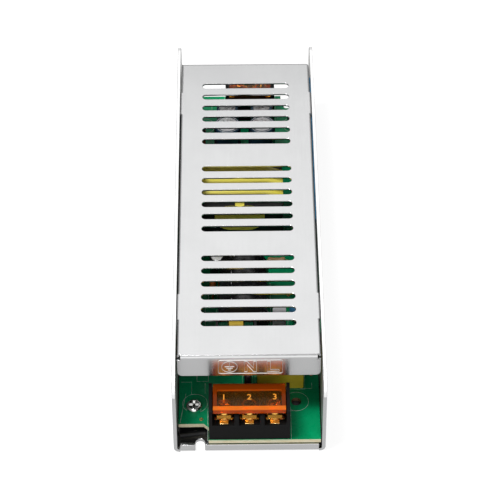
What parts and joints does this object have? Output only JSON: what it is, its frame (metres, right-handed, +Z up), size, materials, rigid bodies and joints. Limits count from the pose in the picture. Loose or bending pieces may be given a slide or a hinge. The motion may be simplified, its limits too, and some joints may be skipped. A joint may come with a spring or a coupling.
{
  "type": "led power supply",
  "caption": "Slim strip power supply in a folded aluminium case with a slotted cover, a mains terminal block with a hinged lid at one end and a low-voltage one at the other.",
  "frame": {"origin": "middle of the case's underside", "axes": "+Z up, +Y along the case from the mains input end to the output end, +X to the right seen from the input end"},
  "size_m": [0.051, 0.176, 0.033],
  "materials": {
    "case_aluminium": "satin, bare",
    "film_black": "glossy film",
    "plated_steel": "bright plated",
    "board_green": "solder mask, cream cut edges",
    "block_black": "moulded, semi-matt",
    "lid_amber": "clear amber moulding",
    "terminal_brass": "bright",
    "part_black": "moulded or coated",
    "ferrite": "sintered, dull",
    "tape_yellow": "polyester tape",
    "bobbin_yellow": "moulded",
    "wire_green": "enamelled wire",
    "box_yellow": "moulded box",
    "box_grey": "moulded box",
    "disc_blue": "dipped coating",
    "disc_orange": "dipped coating",
    "sleeve_black": "shrunk sleeve, bare ends",
    "sleeve_navy": "shrunk sleeve, bare ends",
    "resistor_body": "lacquered, banded",
    "pad_blue": "silicone sheet"
  },
  "bodies": {
    "case": {"chassis": "case_aluminium", "top_cover": "case_aluminium", "insulation_film": "film_black", "pcb_standoffs": "plated_steel", "circuit_board": "board_green", "pcb_screws": "plated_steel", "input_terminal_block": "block_black", "input_terminal_plates": "terminal_brass", "input_clamp_washers": "terminal_brass", "input_terminal_screws": "terminal_brass", "output_terminal_block": "block_black", "output_terminal_plates": "terminal_brass", "output_clamp_washers": "terminal_brass", "output_terminal_screws": "terminal_brass", "fuse": "part_black", "thermistor": "part_black", "x_capacitor": "box_yellow", "choke_core": "ferrite", "choke_bobbin": "bobbin_yellow", "choke_windings": "wire_green", "bridge_rectifier": "part_black", "varistor": "disc_blue", "film_capacitor": "box_grey", "bulk_capacitor": "sleeve_black", "y_capacitor": "disc_orange", "bias_capacitor": "sleeve_black", "controller_chip": "part_black", "resistors": "resistor_body", "transformer_core_front": "ferrite", "transformer_core_rear": "ferrite", "transformer_bobbin": "part_black", "transformer_winding": "tape_yellow", "core_tape": "tape_yellow", "optocoupler": "part_black", "output_choke": "part_black", "output_capacitors": "sleeve_navy", "thermal_pad": "pad_blue", "switching_transistor": "part_black", "output_rectifiers": "part_black", "device_screws": "plated_steel", "device_nuts": "plated_steel", "cover_screws": "plated_steel"},
    "input_lid": {"input_terminal_lid": "lid_amber"},
    "output_lid": {"output_terminal_lid": "lid_amber"}
  },
  "joints": [
    {"name": "input_lid_hinge", "type": "hinge", "parent": "case", "child": "input_lid", "pos_m": [0, -0.0754, 0.0173], "axis": [-1, 0, 0], "range_deg": [0, 70]},
    {"name": "output_lid_hinge", "type": "hinge", "parent": "case", "child": "output_lid", "pos_m": [0.0017, 0.0754, 0.0173], "axis": [1, 0, 0], "range_deg": [0, 70]}
  ]
}
